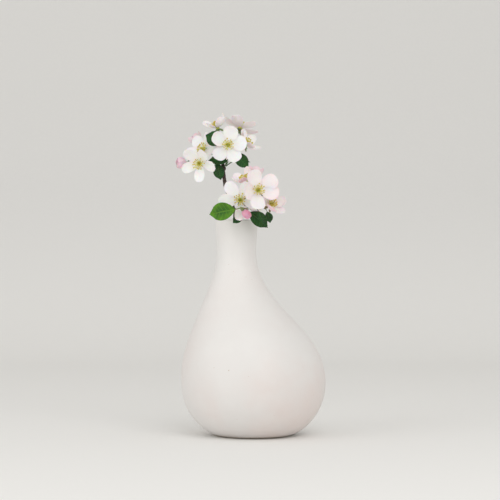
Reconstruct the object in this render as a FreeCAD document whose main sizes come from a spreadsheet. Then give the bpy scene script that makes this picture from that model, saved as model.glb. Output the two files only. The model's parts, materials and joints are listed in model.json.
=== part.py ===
# Ceramic bud vase with two lift-out sprigs of apple blossom.
# Frame: origin at the centre of the foot, +Z up, -Y to the front, millimetres and degrees.
import FreeCAD, Part
import os
import Sketcher
from FreeCAD import Placement, Rotation, Vector

# ---------------------------------------------------------------- driving dimensions
SIZES = {
    # vase: one slip-cast wall that leans to the left as it narrows
    "vase_height": 200.0,
    "foot_radius": 30.0,
    "belly_radius": 67.0,
    "belly_height": 46.0,
    "neck_radius": 18.4,
    "neck_height": 178.0,
    "neck_offset": -15.7,
    "rim_radius": 19.2,
    "wall": 3.6,
    "floor_thickness": 5.0,
    "floor_inset": 2.0,
    "foot_ring_width": 5.0,
    "foot_recess": 1.5,
    "lip_round": 1.6,
    # branches: straight in the vase, jointed above the rim
    "stem_radius": 2.0,
    "twig_radius": 1.5,
    "knuckle_radius": 2.8,
    "foot_gap": 1.0,
    "floor_gap": 0.4,
    # petals: five sectors of a spherical dish
    "petal_root": 1.7,
    "petal_thickness": 0.5,
    "petal_span": 60.0,
    "open_cup": 30.0,
    "half_cup": 13.0,
    "closed_cup": 7.5,
    "large_petal": 20.0,
    "large_petal_width": 14.5,
    "medium_petal": 17.5,
    "medium_petal_width": 13.0,
    "small_petal": 15.0,
    "small_petal_width": 11.0,
    "half_petal": 15.0,
    "half_petal_width": 11.5,
    "closed_petal": 11.5,
    "closed_petal_width": 10.0,
    "bud_length": 10.5,
    "bud_radius": 3.4,
    # stamens, calyx and flower stalks
    "stamen_length": 6.0,
    "stamen_root": 0.9,
    "stamen_spread": 3.2,
    "calyx_length": 4.0,
    "calyx_radius": 1.6,
    "sepal_length": 5.5,
    "sepal_width": 2.4,
    "sepal_thickness": 0.8,
    "stalk_radius": 0.6,
    # leaves: a lens outline cut from a bent sheet
    "leaf_thickness": 0.5,
    "leaf_bend": 55.0,
}

BOWL_FULLNESS = 1.8
BOWL_RINGS = (0.045, 0.15, 0.35, 0.65)
LIP_SHARE = 0.45  # most of the wall that the round of the lip may take
# climb from belly to neck, radius left to lose, lean reached, wall measured level
SHOULDER_RINGS = (
    (0.25, 0.885, 0.14, 1.08),
    (0.42, 0.636, 0.42, 1.18),
    (0.59, 0.330, 0.78, 1.18),
    (0.76, 0.090, 0.97, 1.07),
)
OVERCUT = 5.0
# wood: how far a leaning stem's end dips, as a share of its radius, and how the lengths meet
STEM_DIP = 0.25
JOINT_TAPER = 0.98
JOINT_SWELL = 1.04
PETALS = 5
OPEN_KINDS = ("large", "medium", "small", "half")
OUTLINE_DEPTH = 0.9  # half the depth of the egg that trims a petal, as a share of its dish
CUP_FOOT = 0.6  # narrow end of the calyx cup, as a share of its mouth
CUP_GRIP = 0.9  # how deep in the cup a stalk ends, as a share of the cup's length
SEPAL_TILT = 32
SEPAL_OUT = 0.3  # shares of the sepal's length from the cup's edge to the sepal's middle
SEPAL_DOWN = 0.4
STALK_TAPER = 1.1
STALK_SWELL = 1.15
PETIOLE_REACH = 0.06  # share of the blade's length that its stalk runs under
PETIOLE_DROP = 0.3
PETIOLE_TAPER = 0.7

# ---------------------------------------------------------------- the sprigs, as spots
# A spot is (right, back, up) from the front of the rim. A flower is its spot, the way it
# faces, its turn about that way, its kind and the bends of its stalk.
TALL_ROUTE = ((-4, 27, 13), (-11, 36, 33))
TALL_LEAF_KNUCKLE = (-13, 44, 49)
TALL_FLOWER_KNUCKLE = (-13.5, 47, 59)
TALL_FLOWERS = {
    "flower_1": ((-34, 22, 53), (-0.35, -0.85, -0.30), 36, "medium", ((-23, 34, 49),)),
    "flower_2": ((-31, 43, 66), (-0.45, -0.75, 0.30), 38, "medium", ()),
    "flower_3": ((-8, 28, 70), (0.0, -1.0, 0.10), -8, "medium", ()),
    "flower_4": ((8, 40, 71), (0.60, -0.45, 0.65), 0, "half", ()),
    "flower_5": ((3, 49, 87), (0.25, 0.45, 0.86), 10, "medium", ()),
    "flower_6": ((-18, 36.5, 86.5), (-0.30, -0.30, 0.90), 30, "half", ((-12, 39, 74),)),
    "flower_7": ((-10, 66, 68), (0.10, 0.95, 0.30), 0, "medium", ()),
    "opening_bud": ((-36, 58, 74), (-0.60, 0.0, 0.79), 0, "opening", ()),
    "pink_bud": ((-47.5, 44.5, 54), (-0.90, -0.20, 0.05), 20, "closed", ((-30, 48, 53.5),)),
}
SHORT_ROUTE = ((-1, 9, 8),)
SHORT_LEAF_KNUCKLE = (5, 3, 12)
SHORT_FLOWER_KNUCKLE = (11, -2, 17)
SHORT_FLOWERS = {
    "flower_1": ((4, -17, 17), (-0.15, -0.97, 0.10), 42, "large", ()),
    "flower_2": ((19.5, -30, 25.5), (0.25, -0.95, 0.15), 21, "large", ((23.5, -13, 21.5),)),
    "flower_3": ((31, -17, 12.5), (0.45, -0.80, 0.40), 0, "half", ()),
    "flower_4": ((8.5, -7, 34.5), (-0.40, -0.40, 0.82), 0, "half", ()),
    "flower_5": ((13, 11, 16), (-0.10, 0.85, 0.50), 0, "small", ()),
    "opening_bud": ((16.5, 5, 39), (0.20, 0.10, 0.97), 0, "opening", ()),
    "pink_bud": ((6.4, -29, 7.4), (0.64, -0.26, -0.72), 0, "bud", ((10.8, -17, 10.6), (9.6, -23.5, 9.2))),
}
# A leaf is the knuckle it grows from, the spots of its base and tip, the way its upper
# face looks and its width.
TALL_LEAVES = (
    (TALL_FLOWER_KNUCKLE, (-14.5, 30.5, 72.5), (-28.5, 28, 80), (0.0, -1.0, 0.2), 14),
    (TALL_LEAF_KNUCKLE, (-9, 36, 56), (-26, 33, 58), (0.0, -0.8, 0.6), 11),
    (TALL_LEAF_KNUCKLE, (-18, 38, 53), (-15.5, 36, 38), (-0.2, -1.0, 0.0), 10),
    (TALL_LEAF_KNUCKLE, (0, 38, 64), (11.6, 36, 50), (0.1, -1.0, 0.3), 11),
    (TALL_LEAF_KNUCKLE, (0, 50, 57), (13, 58, 58), (0.3, -0.4, 1.0), 12),
)
SHORT_LEAVES = (
    (SHORT_LEAF_KNUCKLE, (-1.5, -29, 8.5), (-24.2, -30, 4.6), (-0.1, -1.0, 0.1), 15.5),
    (SHORT_LEAF_KNUCKLE, (5, -9, 3), (-3, -12, -3), (0.0, -1.0, 0.3), 7.5),
    (SHORT_LEAF_KNUCKLE, (12.5, -6, 6.5), (29.3, -10, -5.6), (0.2, -0.9, 0.4), 14),
    (SHORT_FLOWER_KNUCKLE, (20, -15.5, 7), (24, -18.5, -4), (-0.6, -0.8, 0.0), 6),
    (SHORT_FLOWER_KNUCKLE, (28.5, 1, 7), (31.5, 0, -3), (0.3, -0.9, 0.0), 7),
)
TALL_FOOT_ANGLE = -25
SHORT_FOOT_ANGLE = 155
# where each stem crosses the mouth, as shares of the clear neck radius
TALL_MOUTH = (0.08, 0.40)
SHORT_MOUTH = (-0.09, -0.40)

document = FreeCAD.newDocument("ceramic_bud_vase")
sheet = document.addObject("Spreadsheet::Sheet", "Sizes")
for row, (word, value) in enumerate(SIZES.items(), 1):
    sheet.set(f"A{row}", word)
    sheet.set(f"B{row}", str(value))
    sheet.setAlias(f"B{row}", word)
document.recompute()

nodes = []


def keep(item, label):
    """Name a finished sub-part; its label is the name of its file."""
    item.Label = label
    nodes.append(item)
    return item


def bind(item, rules):
    """Tie properties of an object to the cells of the sheet."""
    for path, rule in rules.items():
        item.setExpression(path, rule)


# ---------------------------------------------------------------- vase
def origin_plane(body, role):
    return next(datum for datum in body.Origin.OriginFeatures if datum.Role == role)


def circle_sketch(body, name, radius, height="0", across="0"):
    """A level circle of the body, with its radius, height and sideways place bound."""
    sketch = body.newObject("Sketcher::SketchObject", name)
    sketch.AttachmentSupport = (origin_plane(body, "XY_Plane"), "")
    sketch.MapMode = "FlatFace"
    first_radius = sheet.foot_radius
    circle = sketch.addGeometry(Part.Circle(Vector(0, 0, 0), Vector(0, 0, 1), first_radius))
    sketch.addConstraint(Sketcher.Constraint("Coincident", circle, 3, -1, 1))
    size = sketch.addConstraint(Sketcher.Constraint("Radius", circle, first_radius))
    bind(sketch, {
        f"Constraints[{size}]": radius,
        "AttachmentOffset.Base.x": across,
        "AttachmentOffset.Base.z": height,
    })
    return sketch


def bowl_swell(share):
    """How much of the way from foot to belly the bowl has swelled at a share of its height."""
    return (1 - (1 - share) ** BOWL_FULLNESS) ** (1 / BOWL_FULLNESS)


def loft(body, kind, name, rings):
    """Loft a stack of (height, radius, across) circles into the body."""
    sketches = [
        circle_sketch(body, f"{name}_ring_{number}", radius, height, across)
        for number, (height, radius, across) in enumerate(rings, 1)
    ]
    feature = body.newObject(kind, name)
    feature.Profile = sketches[0]
    feature.Sections = sketches[1:]
    feature.Ruled = False
    return feature


def bowl_rings(bottom, bottom_radius, belly_radius):
    rise = f"(Sizes.belly_height - {bottom})"
    swell = f"({belly_radius} - {bottom_radius})"
    rings = [(bottom, bottom_radius, "0")]
    for share in BOWL_RINGS:
        height = f"{bottom} + {share} * {rise}"
        rings.append((height, f"{bottom_radius} + {bowl_swell(share):.4f} * {swell}", "0"))
    rings.append(("Sizes.belly_height", belly_radius, "0"))
    return rings


def shoulder_rings(inset):
    rings = []
    for climb, fullness, lean, slant in SHOULDER_RINGS:
        height = f"Sizes.belly_height + {climb} * (Sizes.neck_height - Sizes.belly_height)"
        radius = f"Sizes.neck_radius + {fullness} * (Sizes.belly_radius - Sizes.neck_radius)"
        rings.append((height, f"{radius} - {slant} * {inset}", f"{lean} * Sizes.neck_offset"))
    rings.append(("Sizes.neck_height", f"Sizes.neck_radius - {inset}", "Sizes.neck_offset"))
    return rings


def level_edges(shape, height, tolerance=0.01):
    """Names of the edges of a shape that lie level at a height."""
    return [
        f"Edge{number}"
        for number, edge in enumerate(shape.Edges, 1)
        if all(abs(vertex.Z - height) < tolerance for vertex in edge.Vertexes)
        and abs(edge.CenterOfMass.z - height) < tolerance
    ]


def make_vase():
    body = document.addObject("PartDesign::Body", "vase")
    rim = ("Sizes.vase_height", "Sizes.rim_radius", "Sizes.neck_offset")
    outside = bowl_rings("0", "Sizes.foot_radius", "Sizes.belly_radius")
    loft(body, "PartDesign::AdditiveLoft", "outside", outside + shoulder_rings("0") + [rim])
    floor_radius = "(Sizes.foot_radius - Sizes.floor_inset)"
    inside = bowl_rings("Sizes.floor_thickness", floor_radius, "(Sizes.belly_radius - Sizes.wall)")
    mouth_radius = "Sizes.rim_radius - Sizes.wall"
    inside += shoulder_rings("Sizes.wall")
    inside.append(("Sizes.vase_height", mouth_radius, "Sizes.neck_offset"))
    inside.append((f"Sizes.vase_height + {OVERCUT}", mouth_radius, "Sizes.neck_offset"))
    loft(body, "PartDesign::SubtractiveLoft", "hollow", inside)
    recess_radius = "Sizes.foot_radius - Sizes.foot_ring_width"
    recess = body.newObject("PartDesign::Pocket", "foot_recess")
    recess.Profile = circle_sketch(body, "foot_recess_circle", recess_radius)
    recess.Reversed = True
    bind(recess, {"Length": "Sizes.foot_recess"})
    document.recompute()
    lip = body.newObject("PartDesign::Fillet", "lip")
    lip.Base = (recess, level_edges(recess.Shape, sheet.vase_height))
    bind(lip, {"Radius": f"min(Sizes.lip_round; {LIP_SHARE} * Sizes.wall)"})
    body.Tip = lip
    document.recompute()
    if recess.Shape.Volume >= body.getObject("hollow").Shape.Volume:
        raise RuntimeError("the foot recess cut nothing")
    return keep(body, "vase_body")


# ---------------------------------------------------------------- places and rods
def spot(right, back, up):
    """A spot measured from the front of the rim, as expressions."""
    return (
        f"Sizes.neck_offset + ({right:.4f})",
        f"({back:.4f}) - Sizes.rim_radius",
        f"Sizes.vase_height + ({up:.4f})",
    )


def place(item, place_at, turn=None):
    """Bind where an object stands and set which way it is turned."""
    if turn:
        item.Placement = Placement(Vector(), turn)
    bind(item, {f"Placement.Base.{axis}": rule for axis, rule in zip("xyz", place_at)})
    return item


def rod(name, start, end, start_radius, end_radius):
    """A tapered rod between two bound points."""
    run = [f"(({far}) - ({near}))" for near, far in zip(start, end)]
    length = f"sqrt({run[0]}^2 + {run[1]}^2 + {run[2]}^2)"
    item = document.addObject("Part::Cone", name)
    bind(item, {"Radius1": start_radius, "Radius2": end_radius, "Height": length})
    bind(item, {
        "Placement.Rotation.Axis.x": f"-{run[1]}",
        "Placement.Rotation.Axis.y": run[0],
        "Placement.Rotation.Axis.z": "0",
        "Placement.Rotation.Angle": f"acos({run[2]} / {length})",
    })
    return place(item, start)


def ball(name, centre, radius):
    item = document.addObject("Part::Sphere", name)
    bind(item, {"Radius": radius})
    return place(item, centre)


def joined(kind, name, pieces):
    item = document.addObject(kind, name)
    if kind == "Part::Compound":
        item.Links = pieces
    else:
        item.Shapes = pieces
    return item


def group(name, pieces):
    return joined("Part::Compound", name, pieces)


def fuse(name, pieces):
    return joined("Part::MultiFuse", name, pieces)


def knuckle_surface(knuckle, target):
    """The spot where something growing from a knuckle towards a target leaves its skin."""
    way = (Vector(*target) - Vector(*knuckle)).normalize()
    return tuple(
        f"{rule} + {share:.4f} * Sizes.knuckle_radius" for rule, share in zip(spot(*knuckle), way)
    )


# ---------------------------------------------------------------- branches
def make_branch(label, foot_angle, mouth_shares, route, knuckles):
    """A straight stem from the floor to the mouth, then jointed wood to its knuckles."""
    reach = "(Sizes.foot_radius - Sizes.floor_inset - Sizes.stem_radius - Sizes.foot_gap)"
    clear_radius = "(Sizes.neck_radius - Sizes.wall)"
    foot = (
        f"{reach} * cos({foot_angle})",
        f"{reach} * sin({foot_angle})",
        f"Sizes.floor_thickness + Sizes.floor_gap + {STEM_DIP} * Sizes.stem_radius",
    )
    mouth = (
        f"Sizes.neck_offset + {mouth_shares[0]} * {clear_radius}",
        f"{mouth_shares[1]} * {clear_radius}",
        "Sizes.vase_height",
    )
    stops = [foot, mouth] + [spot(*point) for point in route + knuckles]
    last = len(stops) - 1
    radii = [
        f"(Sizes.stem_radius + {stop / last:.3f} * (Sizes.twig_radius - Sizes.stem_radius))"
        for stop in range(last + 1)
    ]
    wood = []
    for stop in range(last):
        ends = (stops[stop], stops[stop + 1])
        taper = (radii[stop], f"{JOINT_TAPER} * {radii[stop + 1]}")
        wood.append(rod(f"{label}_internode_{stop + 1}", *ends, *taper))
    for stop in range(1, last - 1):
        wood.append(ball(f"{label}_bend_{stop}", stops[stop], f"{JOINT_SWELL} * {radii[stop]}"))
    for number, knuckle in enumerate(knuckles, 1):
        wood.append(ball(f"{label}_knuckle_{number}", spot(*knuckle), "Sizes.knuckle_radius"))
    return keep(fuse(label, wood), f"{label}_branch")


# ---------------------------------------------------------------- flowers
def five_round(name, piece, first_angle=0):
    """Five turned copies of a piece about the flower's axis."""
    copies = []
    for number in range(PETALS):
        copy = group(f"{name}_{number + 1}", [piece])
        turn = Rotation(Vector(0, 0, 1), first_angle + 360 / PETALS * number)
        copy.Placement = Placement(Vector(), turn)
        copies.append(copy)
    return copies


def make_crown(kind, cup, length, width):
    """Five petals: sectors of a dish of the radius cup, each rounded to an egg outline."""
    dish = document.addObject("Part::Sphere", f"{kind}_dish")
    bind(dish, {
        "Radius": cup,
        "Angle3": "Sizes.petal_span",
        "Placement.Base.z": cup,
        "Placement.Rotation.Angle": "-Sizes.petal_span / 2",
    })
    hollow = document.addObject("Part::Sphere", f"{kind}_hollow")
    bind(hollow, {"Radius": f"{cup} - Sizes.petal_thickness", "Placement.Base.z": cup})
    shell = document.addObject("Part::Cut", f"{kind}_shell")
    shell.Base = dish
    shell.Tool = hollow
    middle = f"((Sizes.petal_root + {length} / 2) / {cup} * 180 / pi)"
    outline = document.addObject("Part::Ellipsoid", f"{kind}_outline")
    bind(outline, {
        "Radius1": f"{OUTLINE_DEPTH} * {cup}",
        "Radius2": f"{length} / 2",
        "Radius3": f"{width} / 2",
        "Placement.Base.x": f"{cup} * sin({middle})",
        "Placement.Base.z": f"{cup} * (1 - cos({middle}))",
        "Placement.Rotation.Axis.y": "1",
        "Placement.Rotation.Axis.z": "0",
        "Placement.Rotation.Angle": f"-{middle}",
    })
    petal = document.addObject("Part::Common", f"{kind}_petal")
    petal.Base = shell
    petal.Tool = outline
    return group(f"{kind}_crown", five_round(f"{kind}_petal", petal))


def make_bud():
    bud = document.addObject("Part::Ellipsoid", "bud_petals")
    bind(bud, {
        "Radius1": "Sizes.bud_length / 2",
        "Radius2": "Sizes.bud_radius",
        "Radius3": "Sizes.bud_radius",
        "Placement.Base.z": "Sizes.bud_length / 2",
    })
    return bud


def make_stamens():
    tuft = document.addObject("Part::Cone", "stamen_tuft")
    bind(tuft, {
        "Radius1": "Sizes.stamen_root",
        "Radius2": "Sizes.stamen_spread",
        "Height": "Sizes.stamen_length",
    })
    return tuft


def make_cup():
    """The swollen end of the stalk that carries the petals."""
    cup = document.addObject("Part::Cone", "calyx_cup")
    bind(cup, {
        "Radius1": f"{CUP_FOOT} * Sizes.calyx_radius",
        "Radius2": "Sizes.calyx_radius",
        "Height": "Sizes.calyx_length",
        "Placement.Base.z": "-Sizes.calyx_length",
    })
    return cup


def make_calyx(cup):
    """The cup with five sepals bent back below the petals."""
    sepal = document.addObject("Part::Ellipsoid", "sepal")
    sepal.Placement = Placement(Vector(), Rotation(Vector(0, 1, 0), SEPAL_TILT))
    bind(sepal, {
        "Radius1": "Sizes.sepal_thickness / 2",
        "Radius2": "Sizes.sepal_length / 2",
        "Radius3": "Sizes.sepal_width / 2",
        "Placement.Base.x": f"Sizes.calyx_radius + {SEPAL_OUT} * Sizes.sepal_length",
        "Placement.Base.z": f"-{SEPAL_DOWN} * Sizes.sepal_length",
    })
    return fuse("calyx", [cup] + five_round("sepal", sepal, 180 / PETALS))


def make_flower_parts():
    """The shapes that every flower copies: a crown for each kind, stamens, cup and calyx."""
    crowns = {
        kind: make_crown(kind, cup, f"Sizes.{petal}", f"Sizes.{petal}_width")
        for kind, cup, petal in (
            ("large", "Sizes.open_cup", "large_petal"),
            ("medium", "Sizes.open_cup", "medium_petal"),
            ("small", "Sizes.open_cup", "small_petal"),
            ("half", "Sizes.half_cup", "half_petal"),
            ("opening", "Sizes.closed_cup", "closed_petal"),
            ("closed", "Sizes.closed_cup", "closed_petal"),
        )
    }
    crowns["bud"] = make_bud()
    cup = make_cup()
    return crowns, make_stamens(), cup, make_calyx(cup)


def facing(way, turn):
    """Turn a flower's axis to the way it faces, its first petal up, then spin it."""
    axis = Vector(*way)
    upright = Rotation(Vector(0, 0, 1), Vector(0, 0, 0), axis, "ZXY")
    return upright * Rotation(Vector(0, 0, 1), turn)


def make_flowers(sprig, knuckle, flowers, flower_parts):
    """The petals, stamens and stalk of every flower and bud that grows from a knuckle."""
    crowns, stamens, cup, calyx = flower_parts
    for name, (at, way, turn, kind, bends) in flowers.items():
        label = f"{sprig}_{name}"
        pose = facing(way, turn)
        keep(place(group(f"{label}_set", [crowns[kind]]), spot(*at), pose), f"{label}_petals")
        if kind in OPEN_KINDS:
            tuft = group(f"{label}_tuft", [stamens])
            keep(place(tuft, spot(*at), pose), f"{label}_stamens")
        holder = cup if kind == "bud" else calyx
        head = place(group(f"{label}_head", [holder]), spot(*at), pose)
        back = Vector(*at) - pose.multVec(Vector(0, 0, CUP_GRIP * sheet.calyx_length))
        points = list(bends) + [tuple(back)]
        stops = [knuckle_surface(knuckle, points[0])] + [spot(*point) for point in points]
        stalk = [head]
        for number in range(len(points)):
            ends = (stops[number], stops[number + 1])
            radii = ("Sizes.stalk_radius", f"{STALK_TAPER} * Sizes.stalk_radius")
            stalk.append(rod(f"{label}_run_{number + 1}", *ends, *radii))
        for number in range(1, len(points)):
            swell = f"{STALK_SWELL} * Sizes.stalk_radius"
            stalk.append(ball(f"{label}_turn_{number}", stops[number], swell))
        keep(fuse(f"{label}_growth", stalk), f"{label}_stalk")


# ---------------------------------------------------------------- leaves
def make_leaf(label, knuckle, base, tip, upper_face, width):
    """A lens outline cut from a bent sheet, on a thin stalk from its knuckle."""
    length = (Vector(*tip) - Vector(*base)).Length
    outline_radius = (length**2 + width**2) / (4 * width)
    pieces = []
    for side in (-1, 1):
        edge = document.addObject("Part::Cylinder", f"{label}_edge_{side + 2}")
        edge.Radius = outline_radius
        edge.Height = 2 * length
        edge.Placement.Base = Vector(length / 2, side * (outline_radius - width / 2), -1.5 * length)
        pieces.append(edge)
    sheet_faces = []
    for number, inset in enumerate(("0", "Sizes.leaf_thickness")):
        face = document.addObject("Part::Cylinder", f"{label}_face_{number + 1}")
        face.Height = 2 * width
        face.Placement = Placement(Vector(0, width, 0), Rotation(Vector(1, 0, 0), 90))
        bind(face, {"Radius": f"Sizes.leaf_bend - {inset}", "Placement.Base.z": "-Sizes.leaf_bend"})
        sheet_faces.append(face)
    bent = document.addObject("Part::Cut", f"{label}_sheet")
    bent.Base, bent.Tool = sheet_faces
    blade = document.addObject("Part::MultiCommon", f"{label}_blade")
    blade.Shapes = pieces + [bent]
    along = Vector(*tip) - Vector(*base)
    pose = Rotation(along, Vector(0, 0, 0), Vector(*upper_face), "XZY")
    inner = Vector(*base) + pose.multVec(Vector(PETIOLE_REACH * length, 0, -PETIOLE_DROP))
    laid = place(group(f"{label}_laid", [blade]), spot(*base), pose)
    stalk = rod(
        f"{label}_petiole",
        knuckle_surface(knuckle, tuple(inner)),
        spot(*inner),
        "Sizes.stalk_radius",
        f"{PETIOLE_TAPER} * Sizes.stalk_radius",
    )
    return keep(fuse(f"{label}_growth", [laid, stalk]), label)


# ---------------------------------------------------------------- assembly
make_vase()
flower_parts = make_flower_parts()
for sprig, angle, mouth, route, knuckles, flowers, leaves in (
    ("tall", TALL_FOOT_ANGLE, TALL_MOUTH, TALL_ROUTE,
     (TALL_LEAF_KNUCKLE, TALL_FLOWER_KNUCKLE), TALL_FLOWERS, TALL_LEAVES),
    ("short", SHORT_FOOT_ANGLE, SHORT_MOUTH, SHORT_ROUTE,
     (SHORT_LEAF_KNUCKLE, SHORT_FLOWER_KNUCKLE), SHORT_FLOWERS, SHORT_LEAVES),
):
    make_branch(sprig, angle, mouth, route, knuckles)
    make_flowers(sprig, knuckles[-1], flowers, flower_parts)
    for number, leaf in enumerate(leaves, 1):
        make_leaf(f"{sprig}_leaf_{number}", *leaf)

document.recompute()
for item in document.Objects:
    if {"Invalid", "Error"} & set(item.State):
        raise RuntimeError(f"{item.Name} did not recompute: {item.State}")
for node in nodes:
    if node.Shape.isNull() or not node.Shape.isValid():
        raise RuntimeError(f"{node.Label} has no sound shape")

os.makedirs("parts", exist_ok=True)
for node in nodes:
    node.Shape.exportStep(f"parts/{node.Label}.step")
print(len(nodes), "nodes written")
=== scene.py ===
# %% [markdown]
# # A ceramic bud vase with two sprigs of apple blossom
#
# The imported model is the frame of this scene: one slip-cast vase and two sprigs that lift
# out of it. The vase keeps its own mesh and gets a glaze. Everything that grew on a tree is
# modelled again here, because a petal, a leaf or a twig is never as plain as its solid.
# Each new piece stands where its plain solid stands.

# %% The frame
import json
import math
import random

import bmesh
import bpy
import numpy as np
from mathutils import Matrix, Vector


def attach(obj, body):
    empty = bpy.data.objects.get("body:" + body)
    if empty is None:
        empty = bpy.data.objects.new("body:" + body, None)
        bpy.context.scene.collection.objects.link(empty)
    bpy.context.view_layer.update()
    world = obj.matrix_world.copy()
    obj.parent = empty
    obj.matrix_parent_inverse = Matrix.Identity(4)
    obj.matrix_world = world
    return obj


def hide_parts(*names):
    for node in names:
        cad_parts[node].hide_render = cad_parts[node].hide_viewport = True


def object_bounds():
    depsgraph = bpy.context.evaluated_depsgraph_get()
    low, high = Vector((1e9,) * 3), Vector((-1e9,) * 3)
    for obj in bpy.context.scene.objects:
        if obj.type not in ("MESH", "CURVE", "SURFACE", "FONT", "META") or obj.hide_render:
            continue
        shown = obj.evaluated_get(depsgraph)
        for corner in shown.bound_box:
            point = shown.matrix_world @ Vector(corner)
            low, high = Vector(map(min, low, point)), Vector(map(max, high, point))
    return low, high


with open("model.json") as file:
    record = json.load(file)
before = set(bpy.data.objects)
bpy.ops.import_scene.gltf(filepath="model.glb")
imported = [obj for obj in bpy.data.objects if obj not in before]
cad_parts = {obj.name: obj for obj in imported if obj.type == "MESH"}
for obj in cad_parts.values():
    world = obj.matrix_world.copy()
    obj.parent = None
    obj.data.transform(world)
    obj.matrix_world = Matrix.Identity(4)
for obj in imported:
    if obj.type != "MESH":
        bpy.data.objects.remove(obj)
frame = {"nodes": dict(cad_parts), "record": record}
cad_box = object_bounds()
nodes = frame["nodes"]
bodies = frame["record"]["behaviour"]["bodies"]
body_of = {name: body for body, names in bodies.items() for name in names}
MM = 0.001
chance = random.Random(11)

# %% [markdown]
# ## Camera
#
# A level camera keeps the sides of the vase upright. It stands a step away with a long
# lens, so that the near flowers aren't swollen. Its height is a share of the height of the
# whole arrangement, a little above the middle.

# %% Camera
CAMERA_AWAY = 1.55
CAMERA_HEIGHT = 0.57 * cad_box[1].z
CAMERA_SIDE = -0.0032
camera_place = (CAMERA_SIDE, -CAMERA_AWAY, CAMERA_HEIGHT)
bpy.ops.object.camera_add(location=camera_place, rotation=(math.pi / 2, 0, 0))
camera = bpy.context.object
camera.data.lens = 120
bpy.context.scene.camera = camera
print("camera at", [round(value, 3) for value in camera.location])

# %% [markdown]
# ## Floor and light
#
# The floor is a plane whose far edge is extruded upwards, and the fold between the two is
# bevelled into a wide curve, so that no hard line shows behind the vase. A big soft lamp
# stands to the front right and high, a weaker one fills the left, and the pale world does
# the rest. That is the light of a room with one large window. The plain colour transform
# is chosen, because the filmic one greys a white vase and lifts the dark of the leaves.

# %% Helpers for edit mode


def clear_selection():
    """Deselect every object, so that an operator acts only on what is picked next."""
    bpy.ops.object.select_all(action="DESELECT")


def edit(piece):
    """Make a piece the only selected object and enter edit mode with nothing picked."""
    clear_selection()
    piece.select_set(True)
    bpy.context.view_layer.objects.active = piece
    bpy.ops.object.mode_set(mode="EDIT")
    bpy.ops.mesh.select_mode(type="VERT")
    bpy.ops.mesh.select_all(action="DESELECT")


def pick(piece, wanted):
    """In edit mode, select the vertices whose place passes a test, and only those."""
    shape = bmesh.from_edit_mesh(piece.data)
    for vertex in shape.verts:
        vertex.select_set(wanted(vertex.co))
    shape.select_flush(True)
    bmesh.update_edit_mesh(piece.data)


def leave(piece):
    """Go back to object mode."""
    bpy.ops.object.mode_set(mode="OBJECT")
    return piece


def settle(piece):
    """Put the piece's object at the origin, unturned, with its place in its mesh."""
    clear_selection()
    piece.select_set(True)
    bpy.context.view_layer.objects.active = piece
    bpy.ops.object.transform_apply(location=True, rotation=True, scale=True)
    return piece


def modifier(piece, kind, **settings):
    """Add a modifier with its settings and apply it."""
    clear_selection()
    piece.select_set(True)
    bpy.context.view_layer.objects.active = piece
    added = piece.modifiers.new(kind.title(), kind)
    for name, value in settings.items():
        setattr(added, name, value)
    bpy.ops.object.modifier_apply(modifier=added.name)
    return piece


# %% Floor
FLOOR_SIDE = 1.6
FLOOR_BACK = 1.4
WALL_HEIGHT = 1.6
bpy.ops.mesh.primitive_plane_add(size=2 * FLOOR_SIDE, location=(0, FLOOR_BACK - FLOOR_SIDE, 0))
floor = bpy.context.object
floor.name = "studio_floor"
settle(floor)
edit(floor)
pick(floor, lambda co: co.y > FLOOR_BACK - MM)
bpy.ops.mesh.extrude_region_move(TRANSFORM_OT_translate={"value": (0, 0, WALL_HEIGHT)})
pick(floor, lambda co: co.y > FLOOR_BACK - MM and co.z < MM)
bpy.ops.mesh.bevel(offset=0.45, segments=16, affect="EDGES")
leave(floor)
clear_selection()
floor.select_set(True)
bpy.ops.object.shade_smooth()
print("floor faces", len(floor.data.polygons))

# %% Lamps
VASE_MIDDLE = Vector((0, 0, 0.55 * cad_box[1].z))
for lamp_name, lamp_place, lamp_size, watts in (
    ("window", (0.45, -1.25, 1.0), 1.2, 6.8),
    ("fill", (-1.2, -0.9, 0.5), 1.1, 4.5),
):
    aim = (VASE_MIDDLE - Vector(lamp_place)).to_track_quat("-Z", "Y").to_euler()
    bpy.ops.object.light_add(type="AREA", location=lamp_place, rotation=aim)
    lamp = bpy.context.object
    lamp.name = lamp_name
    lamp.data.size = lamp_size
    lamp.data.energy = watts
world = bpy.data.worlds.new("pale_room")
world.use_nodes = True
world.node_tree.nodes["Background"].inputs["Color"].default_value = (1.0, 0.985, 0.96, 1)
world.node_tree.nodes["Background"].inputs["Strength"].default_value = 0.68
bpy.context.scene.world = world
bpy.context.scene.view_settings.view_transform = "Standard"

# %% [markdown]
# ## How the finishes are written
#
# A finish is a small tree of nodes, and sums are easier to read than boxes and wires. The
# class below wraps the output of a node. Adding, multiplying or raising it adds the Math
# node that does so. Colours are mixed with a Mix node. Every other node goes through one
# method, which sets the node's settings first and then its inputs.

# %% A wire between nodes


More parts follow.
